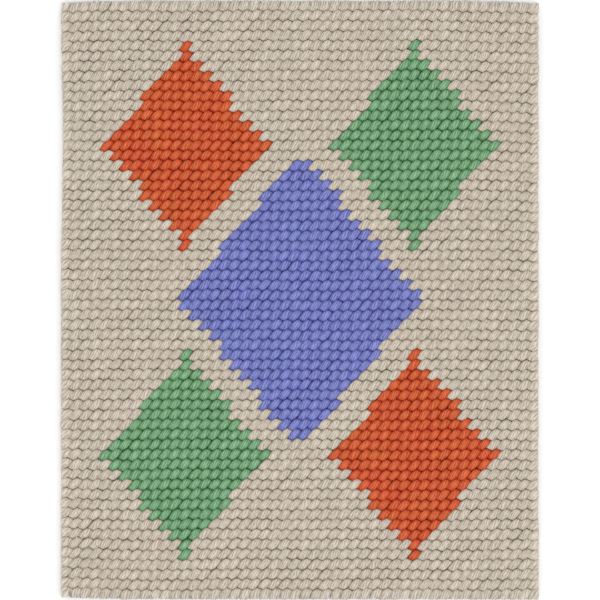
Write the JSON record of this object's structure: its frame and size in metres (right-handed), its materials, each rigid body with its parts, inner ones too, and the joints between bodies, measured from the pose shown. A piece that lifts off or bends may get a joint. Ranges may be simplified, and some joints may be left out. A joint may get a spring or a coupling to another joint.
{
  "type": "needlepoint canvas panel",
  "caption": "Flat panel of open canvas covered with wool tent stitches, its bare margin folded to the back, for mounting, framing or making up.",
  "frame": {"origin": "centre of the flat back, on the surface that the panel lies on", "axes": "+X the picture's right, +Y the picture's top, +Z out of the worked face"},
  "size_m": [0.1204, 0.151, 0.0033],
  "materials": {
    "wool_ground": "beige tapestry wool, matt",
    "wool_orange": "orange tapestry wool, matt",
    "wool_green": "green tapestry wool, matt",
    "wool_violet": "violet tapestry wool, matt",
    "canvas": "sized unbleached cotton canvas thread"
  },
  "bodies": {
    "root": {"needlepoint_panel": "wool_ground"}
  },
  "joints": []
}
